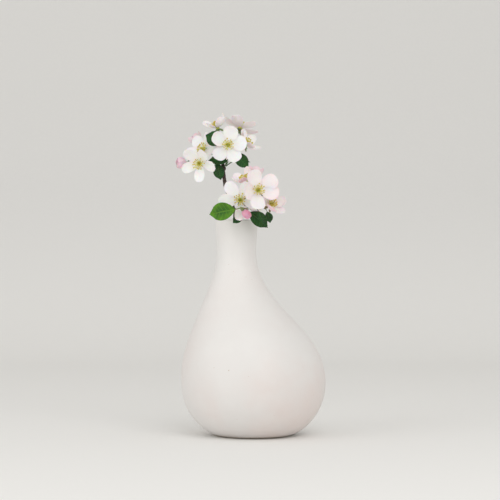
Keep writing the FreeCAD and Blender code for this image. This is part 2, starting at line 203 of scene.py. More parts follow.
class Wire:
    """The output of a node; arithmetic on it adds Math nodes to its tree."""

    def __init__(self, tree, socket):
        self.tree = tree
        self.socket = socket

    def node(self, kind, settings=None, inputs=None, output=0):
        """Add a node of a kind; its settings are set before the values or wires of its inputs."""
        added = self.tree.nodes.new(kind)
        for name, value in (settings or {}).items():
            setattr(added, name, value)
        for name, value in (inputs or {}).items():
            if isinstance(value, Wire):
                self.tree.links.new(value.socket, added.inputs[name])
            else:
                added.inputs[name].default_value = value
        return Wire(self.tree, added.outputs[output])

    def maths(self, operation, first, second=0.0):
        return self.node("ShaderNodeMath", {"operation": operation}, {0: first, 1: second})

    def __add__(self, other):
        return self.maths("ADD", self, other)

    __radd__ = __add__

    def __sub__(self, other):
        return self.maths("SUBTRACT", self, other)

    def __rsub__(self, other):
        return self.maths("SUBTRACT", other, self)

    def __mul__(self, other):
        return self.maths("MULTIPLY", self, other)

    __rmul__ = __mul__

    def __pow__(self, other):
        return self.maths("POWER", self, other)

    def size(self):
        return self.maths("ABSOLUTE", self)

    def wave(self):
        return self.maths("SINE", self)

    def rise(self, low, high):
        """0 below low, 1 above high, and a soft slope between them."""
        inputs = {"Value": self, "From Min": low, "From Max": high}
        return self.node("ShaderNodeMapRange", {"interpolation_type": "SMOOTHSTEP"}, inputs)

    def blend(self, low_colour, high_colour):
        """A colour between two, by this wire from 0 to 1."""
        inputs = {0: self, 6: low_colour, 7: high_colour}
        return self.node("ShaderNodeMix", {"data_type": "RGBA"}, inputs, output=2)

    def noise(self, scale, detail=3.0, roughness=0.5):
        """Soft noise from 0 to 1 over this place, with a scale per metre."""
        inputs = {"Vector": self, "Scale": scale, "Detail": detail, "Roughness": roughness}
        return self.node("ShaderNodeTexNoise", None, inputs)

    def part(self, axis):
        return self.node("ShaderNodeSeparateXYZ", None, {0: self}, output="XYZ".index(axis))

    def stretch(self, x, y, z):
        return self.node("ShaderNodeMapping", None, {"Vector": self, "Scale": (x, y, z)})


def colour(red, green, blue):
    return (red, green, blue, 1.0)


# %% A finish


class Finish:
    """A material whose steady values are set on its shader and whose others are wired."""

    def __init__(self, name, **steady):
        self.material = bpy.data.materials.new(name)
        self.material.use_nodes = True
        self.tree = self.material.node_tree
        self.shader = self.tree.nodes["Principled BSDF"]
        for words, value in steady.items():
            self.shader.inputs[words.replace("_", " ")].default_value = value
        start = Wire(self.tree, None)
        self.place = start.node("ShaderNodeTexCoord", output=3)
        self.start = start

    def strip(self):
        """The piece's own UV: across from 0 to 1, and along from 0 to 1."""
        return self.start.node("ShaderNodeUVMap", {"uv_map": "UVMap"})

    def mark(self, name):
        """A number painted on the mesh under a name."""
        return self.start.node("ShaderNodeAttribute", {"attribute_name": name}, output=2)

    def wear(self, base, roughness=None, height=None, depth=0.0001, strength=1.0):
        """Wire the colour, the roughness and a height in the material to the shader."""
        self.tree.links.new(base.socket, self.shader.inputs["Base Color"])
        if roughness:
            self.tree.links.new(roughness.socket, self.shader.inputs["Roughness"])
        if height:
            inputs = {"Height": height, "Distance": depth, "Strength": strength}
            bump = self.start.node("ShaderNodeBump", None, inputs)
            self.tree.links.new(bump.socket, self.shader.inputs["Normal"])
        return self.material


# %% [markdown]
# ## Glaze of the vase
#
# The real vase is slip-cast white clay under a matt white glaze. Such a glaze isn't one
# white: it blushes pink where the kiln was short of air and carries a few rusty specks of
# iron. The lower body is also painted greyer, which is painted shade towards the foot.
# The blush is broad noise, strongest on the right and low on the body. A fine, shallow bump
# takes the plastic look away. The foot ring is left bare.

# %% Glaze


def white_glaze():
    """Matt white that blushes towards the foot, with painted shade greying it there, and specks of
    iron.
    """
    finish = Finish("matt_white_glaze", IOR=1.45)
    place = finish.place
    up = place.part("Z")
    across = place.part("X")
    low = 1.0 - up.rise(0.0, 0.13)
    clouds = place.noise(16.0, 4.0).rise(0.38, 0.72)
    blush = clouds * (0.25 + 0.5 * low + 0.25 * across.rise(-0.03, 0.06))
    # Painted shade: the glaze is painted greyer towards the foot, where the vase lies in shade.
    painted_shade_glaze = (0.6 * low).blend(colour(0.805, 0.79, 0.77), colour(0.745, 0.715, 0.70))
    glaze = blush.blend(painted_shade_glaze, colour(0.785, 0.70, 0.67))
    milky = place.noise(45.0, 5.0).rise(0.45, 0.75)
    glaze = (0.25 * milky).blend(glaze, colour(0.84, 0.83, 0.81))
    specks = place.noise(520.0, 1.0).rise(0.80, 0.84)
    glaze = (0.75 * specks).blend(glaze, colour(0.42, 0.24, 0.13))
    bare = 1.0 - up.rise(0.0008, 0.0022)
    base = bare.blend(glaze, colour(0.70, 0.62, 0.52))
    roughness = 0.42 + 0.12 * place.noise(90.0, 4.0) + 0.25 * bare
    height = place.noise(330.0, 3.0) + 0.5 * place.noise(1500.0, 2.0)
    return finish.wear(base, roughness, height, depth=0.00012, strength=0.5)


def give(piece, material):
    """Put one material in every slot of a piece, making a slot where there is none."""
    if not piece.data.materials:
        piece.data.materials.append(material)
    for slot in piece.material_slots:
        slot.material = material
    return piece


give(nodes["vase_body"], white_glaze())
print("vase faces", len(nodes["vase_body"].data.polygons))

# %% [markdown]
# ## Bark and wood
#
# A twig can't be a smooth rod. A copy of the branch's own solid is merged, skinned again
# with small even faces by a voxel remesh, which also melts the joints between its lengths,
# and then pushed in and out by noise: coarse for the swellings, fine for the cracked bark.

# %% Bark finish


def dark_bark():
    """Nearly black bark with its grain along the twig and paler pores across it."""
    finish = Finish("dark_bark")
    place = finish.place
    grain = place.stretch(1.0, 1.0, 0.22).noise(1600.0, 5.0, 0.65)
    base = grain.rise(0.3, 0.75).blend(colour(0.018, 0.012, 0.010), colour(0.075, 0.045, 0.035))
    pores = place.stretch(1.0, 1.0, 2.5).noise(700.0, 1.0).rise(0.66, 0.72)
    base = (0.7 * pores).blend(base, colour(0.20, 0.14, 0.10))
    roughness = 0.55 + 0.3 * grain
    return finish.wear(base, roughness, grain + 0.4 * pores, depth=0.0004, strength=0.7)


# %% Grown wood


def own_copy(piece, name):
    """A copy of an object with a mesh of its own, free of any parent."""
    twin = piece.copy()
    twin.data = piece.data.copy()
    twin.name = name
    twin.parent = None
    for key in list(twin.keys()):
        if key.startswith("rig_"):
            del twin[key]
    bpy.context.collection.objects.link(twin)
    return twin


def clouds_texture(name, scale, depth=1):
    """Cloudy noise for a Displace modifier, with the size of its clouds."""
    texture = bpy.data.textures.new(name, "CLOUDS")
    texture.noise_scale = scale
    texture.noise_depth = depth
    return texture


def grown_wood(node, voxel, coarse, fine):
    """Skin a copy of a wooden node again and roughen it with two sizes of noise."""
    piece = own_copy(nodes[node], f"{node}_wood")
    edit(piece)
    bpy.ops.mesh.select_all(action="SELECT")
    bpy.ops.mesh.remove_doubles(threshold=0.01 * MM)
    leave(piece)
    modifier(piece, "REMESH", mode="VOXEL", voxel_size=voxel)
    modifier(piece, "SMOOTH", factor=0.5, iterations=4)
    swell = clouds_texture("swellings", 6 * MM)
    crack = clouds_texture("cracks", 1.1 * MM, 2)
    modifier(piece, "DISPLACE", texture=swell, strength=coarse, mid_level=0.45)
    modifier(piece, "DISPLACE", texture=crack, strength=fine, mid_level=0.5)
    clear_selection()
    piece.select_set(True)
    bpy.ops.object.shade_smooth()
    return piece


def hand_in(piece, node):
    """The piece stands for a node: it rides on the node's body, and the node is hidden."""
    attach(piece, body_of[node])
    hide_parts(node)
    return piece


bark = dark_bark()
for sprig in ("tall", "short"):
    wood = grown_wood(f"{sprig}_branch", 0.4 * MM, 0.7 * MM, 0.35 * MM)
    hand_in(give(wood, bark), f"{sprig}_branch")
    print(wood.name, len(wood.data.polygons), "faces")

# %% [markdown]
# ## Where each flower stands
#
# The plain petals of a flower are pieces of one spherical dish, so the flower can be read
# back from their points. The best sphere through them gives the dish, the line from its
# centre to the middle of the petals gives the way the flower faces, and the fifth harmonic
# of the angles round that line gives the way the first petal points.

# %% Reading a flower


def points_of(node):
    """The places of a node's vertices, one row each."""
    mesh = nodes[node].data
    places = np.zeros(3 * len(mesh.vertices))
    mesh.vertices.foreach_get("co", places)
    return places.reshape(-1, 3)


def turned_frame(axis, hint):
    """Three unit directions: towards the hint but square to the axis, the third, the axis."""
    first = hint - axis * hint.dot(axis)
    first.normalize()
    return first, axis.cross(first), axis


def read_flower(node):
    """Centre of the dish's floor, the flower's directions, the dish, reach and petal width."""
    points = points_of(node)
    rows = np.hstack([2 * points, np.ones((len(points), 1))])
    answer = np.linalg.lstsq(rows, (points**2).sum(1), rcond=None)[0]
    centre = Vector(answer[:3])
    dish = math.sqrt(answer[3] + centre.length_squared)
    axis = (centre - Vector(points.mean(0))).normalized()
    heart = centre - axis * dish
    side, other, axis = turned_frame(axis, axis.orthogonal())
    flat = (points - np.array(heart)) @ np.array([side, other]).T
    far = np.hypot(*flat.T)
    angles = np.arctan2(flat[:, 1], flat[:, 0])
    start = np.angle((far * np.exp(5j * angles)).mean()) / 5
    first = side * math.cos(start) + other * math.sin(start)
    stray = (angles - start + math.pi / 5) % (2 * math.pi / 5) - math.pi / 5
    width = 2 * np.abs(far * np.sin(stray)).max()
    drop = (points - np.array(centre)) @ np.array(-axis) / dish
    reach = dish * np.arccos(np.clip(drop, -1, 1)).max()
    return heart, (first, axis.cross(first), axis), dish, reach, width


flower_names = [name[:-len("_petals")] for name in nodes if name.endswith("_petals")]
flowers = {name: read_flower(f"{name}_petals") for name in flower_names if name != "short_pink_bud"}
for name, (heart, _, dish, reach, width) in flowers.items():
    print(name, "dish, reach and width", [round(size / MM, 1) for size in (dish, reach, width)])

# %% [markdown]
# ## A petal
#
# An apple petal is a spoon: a narrow claw at the root, broad and round further out, thin,
# and a little crumpled from its time in the bud. It is modelled one unit long as a grid
# whose rows are widened or narrowed one by one, which is how a sheet is cut to an outline
# without losing its even faces. Every second mould has a shallow notch in its tip.
# Four moulds differ in their crumple, and every petal in the scene is a copy of one. While
# the rows are cut they stand far above the grid, so that no row is picked twice.

# %% Petal moulds
PETAL_OUTLINE = ((0, 0.16), (0.09, 0.24), (0.22, 0.58), (0.38, 0.88), (0.56, 1.0),
                 (0.73, 0.97), (0.87, 0.77), (0.97, 0.40))
PETAL_COLUMNS = 6
CRUMPLE_SCALES = (0.30, 0.42, 0.55, 0.75)
CRUMPLE_DEPTH = 0.42
CORNER_DROP = 0.03
NOTCH = 0.045
OUT_OF_REACH = 10


def petal_mould(number, crumple):
    """A flat petal one unit long and one wide, standing on the origin and facing back."""
    rows = len(PETAL_OUTLINE) - 1
    bpy.ops.mesh.primitive_grid_add(
        x_subdivisions=PETAL_COLUMNS, y_subdivisions=rows, size=1, calc_uvs=True,
        location=(0, 0, 0.5), rotation=(math.pi / 2, 0, 0),
    )
    mould = settle(bpy.context.object)
    mould.name = f"petal_mould_{number}"
    edit(mould)
    for row in reversed(range(rows + 1)):
        up, wide = PETAL_OUTLINE[row]
        level = row / rows
        pick(mould, lambda co: abs(co.z - level) < 0.02)
        bpy.ops.transform.resize(value=(wide, 1, 1), center_override=(0, 0, level))
        bpy.ops.transform.translate(value=(0, 0, up - level + OUT_OF_REACH))
    pick(mould, lambda co: True)
    bpy.ops.transform.translate(value=(0, 0, -OUT_OF_REACH))
    pick(mould, lambda co: co.z > 0.95 and abs(co.x) > 0.1)
    bpy.ops.transform.translate(value=(0, 0, -CORNER_DROP))
    pick(mould, lambda co: co.z > 0.93 and abs(co.x) < 0.03)
    bpy.ops.transform.translate(value=(0, 0, -NOTCH * (number % 2)))
    leave(mould)
    modifier(mould, "SUBSURF", levels=1, render_levels=1)
    margin = mould.vertex_groups.new(name="margin")
    for vertex in mould.data.vertices:
        loose = min(1.0, max(0.0, vertex.co.z - 0.15) * (0.35 + 1.6 * abs(vertex.co.x)))
        margin.add([vertex.index], loose, "REPLACE")
    texture = clouds_texture(f"crumple_{number}", crumple)
    modifier(mould, "DISPLACE", texture=texture, strength=CRUMPLE_DEPTH, mid_level=0.5,
             direction="Y", vertex_group="margin")
    mould.hide_render = True
    return mould


petal_moulds = [petal_mould(number, crumple) for number, crumple in enumerate(CRUMPLE_SCALES)]
print("petal mould faces", len(petal_moulds[0].data.polygons))

# %% [markdown]
# ## Laying a petal
#
# A copy of a mould is stretched to its length and width, bent across like a gutter and
# along like a ladle, and given its thickness. The two sides of the sheet are told apart
# with a painted mark before the last smoothing, because a blossom is pinker underneath.
# The last step is a turn from the mould's directions to the flower's.

# %% Laying petals


def paint(piece, name, values):
    """Paint a number on every vertex of a piece under a name."""
    mark = piece.data.attributes.new(name, "FLOAT", "POINT")
    mark.data.foreach_set("value", np.asarray(values, dtype=np.float32))


def lay_petal(name, length, width, dish, root, hollow, thickness=0.28 * MM):
    """A finished petal that grows up from its root, before it is turned to its flower."""
    petal = own_copy(chance.choice(petal_moulds), name)
    petal.hide_render = False
    petal.data.transform(Matrix.Diagonal((width, 0.6 * length, length, 1)))
    petal.data.transform(Matrix.Translation((0, 0, root)))
    modifier(petal, "SIMPLE_DEFORM", deform_method="BEND", deform_axis="Z",
             angle=width / dish * hollow)
    modifier(petal, "SIMPLE_DEFORM", deform_method="BEND", deform_axis="X",
             angle=length / dish)
    sheet_points = len(petal.data.vertices)
    modifier(petal, "SOLIDIFY", thickness=thickness, offset=-1)
    under = [float(index < sheet_points) for index in range(len(petal.data.vertices))]
    paint(petal, "underside", under)
    modifier(petal, "SUBSURF", levels=1, render_levels=1)
    return petal


# %% Turning and joining


def turn_to(piece, heart, directions, spin=0.0, lean=0.0, lift=0.0):
    """Turn a piece from growing up and facing back to growing out and facing the axis."""
    basis = Matrix(directions).transposed().to_4x4()
    outward = Matrix(((0, 0, 1, 0), (1, 0, 0, 0), (0, 1, 0, 0), (0, 0, 0, 1)))
    tip_up = Matrix.Rotation(-lean, 4, "Y")
    around = Matrix.Rotation(spin, 4, "Z")
    raised = Matrix.Translation((0, 0, lift))
    piece.data.transform(Matrix.Translation(heart) @ basis @ around @ raised @ tip_up @ outward)
    return piece


def join(pieces, name):
    """Join pieces into one object with a name."""
    clear_selection()
    for piece in pieces:
        piece.select_set(True)
    bpy.context.view_layer.objects.active = pieces[0]
    bpy.ops.object.join()
    whole = bpy.context.object
    whole.name = name
    bpy.ops.object.shade_smooth()
    return whole


# %% [markdown]
# ## Petal finishes
#
# A petal's colour follows the petal, so it reads the UV that the mould's grid has carried
# through every bend: across from edge to edge, and along from claw to tip. Veins are thin
# waves that fan out along it. The face is nearly white with the faintest flush at the
# margin, and the underside has a stronger one. Buds show their deep pink outsides. Light
# goes a little way into a petal, which the subsurface value gives.

# %% Petal finishes


def petal_finish(name, face, flush, underside, face_flush, under_flush):
    """Veined petal skin from its three colours and how far each side is flushed."""
    finish = Finish(name, Subsurface_Weight=0.25, Subsurface_Scale=0.002)
    strip = finish.strip()
    across = (strip.part("X") - 0.5).size() * 2.0
    along = strip.part("Y")
    under = finish.mark("underside")
    place = finish.place
    patches = place.noise(75.0, 3.0).rise(0.35, 0.7)
    fan = strip.part("X") - 0.5
    crooked = 0.12 * place.noise(400.0, 2.0)
    veins = ((fan * (70.0 - 22.0 * along) + 6.0 * crooked).wave()).rise(0.55, 1.0)
    margin = (across ** 3.0) * 0.5 + (along ** 4.0) * 0.5
    pink_face = face_flush * (0.25 + 0.75 * patches) * (0.2 + 0.8 * margin)
    pink_under = under_flush * (0.45 + 0.55 * patches) * (0.55 + 0.45 * along)
    colour_face = pink_face.blend(face, flush)
    colour_under = pink_under.blend(face, underside)
    base = under.rise(0.3, 0.7).blend(colour_face, colour_under)
    base = (0.10 * veins).blend(base, underside)
    claw = 1.0 - along.rise(0.02, 0.22)
    base = (0.45 * claw).blend(base, colour(0.72, 0.76, 0.45))
    roughness = 0.55 - 0.12 * veins + 0.1 * patches
    height = 0.6 * veins + 0.5 * place.noise(1400.0, 2.0)
    return finish.wear(base, roughness, height, depth=0.00012, strength=0.45)


white_petals = petal_finish(
    "white_blossom_petals", colour(0.95, 0.935, 0.935), colour(0.92, 0.70, 0.75),
    colour(0.89, 0.60, 0.67), 0.55, 0.42,
)
flushed_petals = petal_finish(
    "flushed_blossom_petals", colour(0.945, 0.895, 0.90), colour(0.89, 0.60, 0.67),
    colour(0.87, 0.48, 0.58), 0.85, 0.70,
)
bud_petals = petal_finish(
    "pink_bud_petals", colour(0.88, 0.52, 0.60), colour(0.84, 0.30, 0.44),
    colour(0.80, 0.17, 0.34), 1.0, 0.95,
)
pale_bud_petals = petal_finish(
    "pale_bud_petals", colour(0.91, 0.76, 0.80), colour(0.87, 0.52, 0.62),
    colour(0.85, 0.42, 0.55), 0.95, 0.80,
)
print("petal finishes", sum(item.name.endswith("_petals") for item in bpy.data.materials))

# %% [markdown]
# ## Open flowers
#
# Five petals go round the heart, a fifth of a turn apart, and every one is a little off:
# in angle, size, hollow and lean. Each is lifted by less than a millimetre, every second
# one a little more, so that neighbours pass over and under each other, as they do on the
# tree. Two flowers turn a petal aside, one from the flower behind it and one from the leaf
# below, which would both be hidden otherwise.

# %% Open flowers
PETAL_COUNT = 5
FLUSHED = ("short_flower_3", "short_flower_4", "short_flower_2")
BROAD = ("tall_flower_3", "short_flower_2", "short_flower_3")
MAKES_ROOM = {"short_flower_2": "short_flower_3_petals", "short_flower_1": "short_leaf_1"}
ROOM_TURN = 0.38
BROAD_SHARES = (1.02, 1.16)
SLIM_SHARES = (0.80, 1.02)


def eased(name, spin):
    """A petal's place round its flower, turned aside from a piece that it would cover."""
    if name not in MAKES_ROOM:
        return spin
    heart, (first, second, _), *_ = flowers[name]
    away = Vector(points_of(MAKES_ROOM[name]).mean(0)) - heart
    off = spin - math.atan2(away.dot(second), away.dot(first))
    off = (off + math.pi) % (2 * math.pi) - math.pi
    return spin + math.copysign(ROOM_TURN, off) if abs(off) < math.pi / PETAL_COUNT else spin


def open_flower(name):
    """Five petals, each a little off, joined into one blossom."""
    heart, directions, dish, reach, width = flowers[name]
    breadth = BROAD_SHARES if name in BROAD else SLIM_SHARES
    root = 0.6 * MM
    petals = []
    for number in range(PETAL_COUNT):
        length = (reach - root) * chance.uniform(0.94, 1.05)
        petal = lay_petal(
            f"{name}_petal_{number + 1}", length, width * chance.uniform(*breadth),
            dish * chance.uniform(0.75, 1.45), root, chance.uniform(0.9, 2.4),
        )
        petal.data.transform(Matrix.Rotation(chance.uniform(-0.22, 0.22), 4, "Z"))
        spin = 2 * math.pi * number / PETAL_COUNT + chance.uniform(-0.10, 0.10)
        lift = 0.35 * MM * (number % 2) + 0.1 * MM * number
        lean = chance.uniform(-0.14, 0.16)
        petals.append(turn_to(petal, heart, directions, eased(name, spin), lean, lift))
    return join(petals, f"{name}_blossom")


open_names = [name for name in flowers if f"{name}_stamens" in nodes]
for name in open_names:
    blossom = open_flower(name)
    give(blossom, flushed_petals if name in FLUSHED else white_petals)
    hand_in(blossom, f"{name}_petals")
print(len(open_names), "open flowers,", len(blossom.data.polygons), "faces in the last")

# %% [markdown]
# ## Stamens
#
# An apple flower holds some two dozen stamens round five green styles. A stamen is a thin
# filament, greenish at its foot and yellow above, with a two-lobed yellow anther on top.
# There are hundreds in the scene, so one stamen is only a few dozen faces: a five-sided
# rod that is extruded and drifts outwards four times, and a small ball pinched in two.
# They stand round a low green button, the top of the ovary.

# %% Stamen mould
FILAMENT = 5.8 * MM
THREAD_RADIUS = 0.36 * MM
THREAD_STEPS = 4
ANTHER_RADIUS = 0.68 * MM


def stamen_mould():
    """One stamen on the origin: a tapered thread that drifts outwards, and its anther."""
    bpy.ops.mesh.primitive_circle_add(vertices=5, radius=THREAD_RADIUS, fill_type="NGON")
    mould = bpy.context.object
    mould.name = "stamen_mould"
    edit(mould)
    bpy.ops.mesh.select_all(action="SELECT")
    rise = FILAMENT / THREAD_STEPS
    for step in range(THREAD_STEPS):
        drift = 0.05 * rise * step * step
        bpy.ops.mesh.extrude_region_move(TRANSFORM_OT_translate={"value": (drift, 0, rise)})
        bpy.ops.transform.resize(value=(0.86, 0.86, 1))
    leave(mould)
    top = max((vertex.co for vertex in mould.data.vertices), key=lambda co: co.z)
    paint(mould, "anther", [0.0] * len(mould.data.vertices))
    paint(mould, "height", [vertex.co.z / FILAMENT for vertex in mould.data.vertices])
    bpy.ops.mesh.primitive_uv_sphere_add(
        segments=8, ring_count=5, radius=ANTHER_RADIUS, location=(top.x, 0, top.z + 0.2 * MM)
    )
    anther = bpy.context.object
    anther.scale = (0.72, 1.0, 1.35)
    settle(anther)
    edit(anther)
    pick(anther, lambda co: abs(co.y) < 0.1 * MM)
    bpy.ops.transform.resize(value=(0.62, 1, 0.8))
    leave(anther)
    paint(anther, "anther", [1.0] * len(anther.data.vertices))
    paint(anther, "height", [1.0] * len(anther.data.vertices))
    whole = join([mould, anther], "stamen_mould")
    edit(whole)
    bpy.ops.mesh.select_all(action="SELECT")
    bpy.ops.mesh.normals_make_consistent(inside=False)
    leave(whole)
    whole.hide_render = True
    return whole


stamen = stamen_mould()
print("stamen faces", len(stamen.data.polygons))

# %% Stamen finish


def stamen_finish():
    """Threads that pale upwards, with dusty yellow anthers."""
    finish = Finish("stamens_and_anthers", Subsurface_Weight=0.15, Subsurface_Scale=0.001)
    anther = finish.mark("anther")
    tall = finish.mark("height")
    grains = finish.place.noise(2600.0, 2.0)
    thread = tall.rise(0.0, 0.8).blend(colour(0.55, 0.62, 0.06), colour(0.82, 0.78, 0.20))
    dusty = grains.rise(0.35, 0.7).blend(colour(0.56, 0.44, 0.06), colour(0.86, 0.75, 0.22))
    base = anther.rise(0.3, 0.7).blend(thread, dusty)
    roughness = 0.5 + 0.35 * anther
    return finish.wear(base, roughness, grains, depth=0.0001, strength=0.5)


# %% Stamens in every flower
STAMENS = 24
STYLES = 5
BUTTON_RADIUS = 2.1 * MM
BUTTON_FLATTENED = 0.55


def stamen_tuft(name):
    """Two rings of stamens round a bunch of short styles."""
    heart, directions, dish, *_ = flowers[name]
    basis = Matrix(directions).transposed().to_4x4()
    opening = min(1.0, dish / (20 * MM))
    threads = []
    for number in range(STAMENS + STYLES):
        thread = own_copy(stamen, f"{name}_thread_{number}")
        thread.hide_render = False
        if number < STAMENS:
            outer = number % 2
            lean = opening * (0.26 + 0.36 * outer + chance.uniform(-0.12, 0.16))
            spin = 2 * math.pi * number / STAMENS + chance.uniform(-0.14, 0.14)
            scale = chance.uniform(0.82, 1.08)
            start = 0.9 * MM
        else:
            lean = chance.uniform(0.04, 0.16)
            spin = 2 * math.pi * number / STYLES
            scale = chance.uniform(0.62, 0.72)
            start = 0.35 * MM
        pose = Matrix.Rotation(spin, 4, "Z") @ Matrix.Translation((start, 0, 0.2 * MM))
        pose = pose @ Matrix.Rotation(lean, 4, "Y") @ Matrix.Scale(scale, 4)
        thread.data.transform(Matrix.Translation(heart) @ basis @ pose)
        threads.append(thread)
    bpy.ops.mesh.primitive_uv_sphere_add(segments=20, ring_count=10, radius=BUTTON_RADIUS)
    button = bpy.context.object
    edit(button)
    pick(button, lambda co: co.z > 1.3 * MM)
    bpy.ops.transform.translate(value=(0, 0, -0.5 * MM))
    leave(button)
    paint(button, "anther", [0.0] * len(button.data.vertices))
    paint(button, "height", [0.25] * len(button.data.vertices))
    flatten = Matrix.Diagonal((1, 1, BUTTON_FLATTENED, 1))
    button.data.transform(Matrix.Translation(heart) @ basis @ flatten)
    return join(threads + [button], f"{name}_stamen_tuft")


yellow = stamen_finish()
for name in open_names:
    tuft = give(stamen_tuft(name), yellow)
    hand_in(tuft, f"{name}_stamens")
print("stamens in a flower", STAMENS, "faces", len(tuft.data.polygons))

# %% [markdown]
# ## Buds
#
# A bud is the same petals wrapped round each other. In an opening bud they stand up in a
# loose cup with two tighter cups inside it. In the closed one two rings of petals are bent
# right over the middle, so that only their pink outside shows, and the whole is drawn out
# along its stalk.

# %% Buds


def wrapped(name, heart, directions, rings):
    """Rings of petals, each (count, length, width, dish, root, hollow, lean, lift)."""
    petals = []
    for ring, (count, length, width, dish, root, hollow, lean, lift) in enumerate(rings):
        for number in range(count):
            petal = lay_petal(
                f"{name}_petal_{ring}_{number}", length * chance.uniform(0.95, 1.05), width,
                dish * chance.uniform(0.94, 1.08), root, hollow,
            )
            spin = 2 * math.pi * (number + 0.5 * ring) / count + chance.uniform(-0.1, 0.1)
            rise = lift + 0.12 * MM * number
            turn_to(petal, heart, directions, spin, lean + chance.uniform(-0.05, 0.05), rise)
            petals.append(petal)
    return join(petals, f"{name}_blossom")


def read_bud(node, stalk):
    """Base, directions, length and thickness of an egg-shaped bud on its stalk."""
    points = points_of(node)
    middle = points.mean(0)
    spread, ways = np.linalg.eigh(np.cov((points - middle).T))
    long_way = Vector(ways[:, spread.argmax()])
    stalk_middle = Vector(points_of(stalk).mean(0))
    if long_way.dot(Vector(middle) - stalk_middle) < 0:
        long_way = -long_way
    along = (points - middle) @ np.array(long_way)
    half = (along.max() - along.min()) / 2
    base = Vector(middle) - long_way * half
    thick = np.linalg.norm((points - middle) - np.outer(along, long_way), axis=1).max()
    return base, turned_frame(long_way, long_way.orthogonal()), 2 * half, thick


# %% Opening buds
opening_names = [name for name in flowers if name not in open_names]
for name in opening_names:
    heart, directions, dish, reach, width = flowers[name]
    snug = 0.8 if name.endswith("pink_bud") else 1.0
    rings = (
        (5, reach, 1.15 * width, snug * dish, 0.3 * MM, 1.3, 0.0, 0.0),
        (4, 0.86 * reach, width, 0.72 * snug * dish, 0.3 * MM, 1.3, 0.1, 0.5 * MM),
        (3, 0.72 * reach, 0.8 * width, 0.5 * snug * dish, 0.2 * MM, 1.2, 0.2, 0.8 * MM),
    )
    blossom = wrapped(name, heart, directions, rings)
    give(blossom, pale_bud_petals if name == "tall_pink_bud" else flushed_petals)
    hand_in(blossom, f"{name}_petals")
    print(name, len(blossom.data.polygons), "faces")

# %% The closed bud
DRAWN_OUT = 1.5
SLIMMED = 0.84
base, directions, bud_length, bud_thick = read_bud("short_pink_bud_petals", "short_pink_bud_stalk")
bud_rings = (
    (5, 1.42 * bud_length, 2.3 * bud_thick, 1.02 * bud_thick, 0.2 * MM, 0.8, -0.25, 0.0),
    (3, 1.28 * bud_length, 2.2 * bud_thick, 0.92 * bud_thick, 0.2 * MM, 0.8, -0.2, 0.3 * MM),
)
bud = wrapped("short_pink_bud", base, directions, bud_rings)
lengthen = Matrix.Scale(DRAWN_OUT, 4, directions[2]) @ Matrix.Scale(SLIMMED, 4)
bud.data.transform(Matrix.Translation(base) @ lengthen @ Matrix.Translation(-base))
give(bud, bud_petals)
hand_in(bud, "short_pink_bud_petals")
print("bud", round(bud_length / MM, 1), "mm long", len(bud.data.polygons), "faces")

# %% [markdown]
# ## Where each leaf lies
#
# A leaf's solid is a thin arched sheet on a stalk. The triangles of the sheet, weighed by
# their area, give the way it looks, its middle and the way the blade runs, once the ones
# that belong to the stalk are left out. The end that is further from the branch is the
# tip. The sheet is arched with its upper side outwards, which tells it from the lower.

# %% Reading a leaf


def read_leaf(node, branch):
    """Base, tip, upper direction and width of the blade, and where its stalk starts."""
    mesh = nodes[node].data
    points = points_of(node)
    wood = points_of(branch)
    gaps = ((points[:, None, :] - wood[None, ::7, :]) ** 2).sum(2).min(1)
    root = Vector(points[gaps.argmin()])
    areas = np.array([face.area for face in mesh.polygons])
    looks = np.array([tuple(face.normal) for face in mesh.polygons])
    middles = np.array([tuple(face.center) for face in mesh.polygons])
    upper = np.linalg.eigh((looks * areas[:, None]).T @ looks)[1][:, 2]
    blade = np.abs(looks @ upper) > 0.85
    for _ in range(8):
        shares = areas[blade, None] / areas[blade].sum()
        centre = (middles[blade] * shares).sum(0)
        spread = middles[blade] - centre
        along = np.linalg.eigh((spread * shares).T @ spread)[1][:, 2]
        ends = [points[(points @ way).argmax()] for way in (along, -along)]
        far = np.argmax([np.linalg.norm(end - root) for end in ends])
        tip, along = ends[far], (along, -along)[far]
        half = (tip - centre) @ along
        blade &= (middles - centre) @ -along < half
    places = points - centre
    near = (np.abs(places @ upper) < 1.5 * MM) & (np.abs(places @ along) < 0.85 * half)
    side = np.cross(upper, along)
    width = 2 * np.percentile(np.abs(places[near] @ side), 98)
    if np.polyfit(places[near] @ along, places[near] @ upper, 2)[0] > 0:
        upper = -upper
    upper = upper - along * (upper @ along)
    tip, along, upper = Vector(tip), Vector(along).normalized(), Vector(upper).normalized()
    return tip - along * 2 * half, tip, upper, width, root


leaf_names = [name for name in nodes if "_leaf_" in name]
leaves = {name: read_leaf(name, name.split("_")[0] + "_branch") for name in leaf_names}
for name, (base, tip, upper, width, _) in leaves.items():
    print(name, "long", round((tip - base).length / MM, 1), "wide", round(width / MM, 1))

# %% [markdown]
# ## A leaf
#
# The leaf mould is again a grid, this time with rows that run along the side veins: the
# outer columns are slid towards the tip, so that each row is a V. Before that the rows are
# cut to the outline, every fourth row and the middle column are pressed down as veins, and
# every second point of the edge is pushed out as a tooth. The quilting between the veins
# comes from the smoothing that follows.

# %% Leaf mould
LEAF_ROWS = 30
LEAF_COLUMNS = 10
ROWS_PER_VEIN = 4
VEIN_SLANT = 0.32
VEIN_DEPTH = 0.022
MIDRIB_DEPTH = 0.030
TOOTH = (0.028, 0.018)


def leaf_half_width(along):
    """Half the width of a row by its place along the midrib; the V carries it further."""
    return 1.458 * along ** 0.55 * (1 - along) ** 1.15


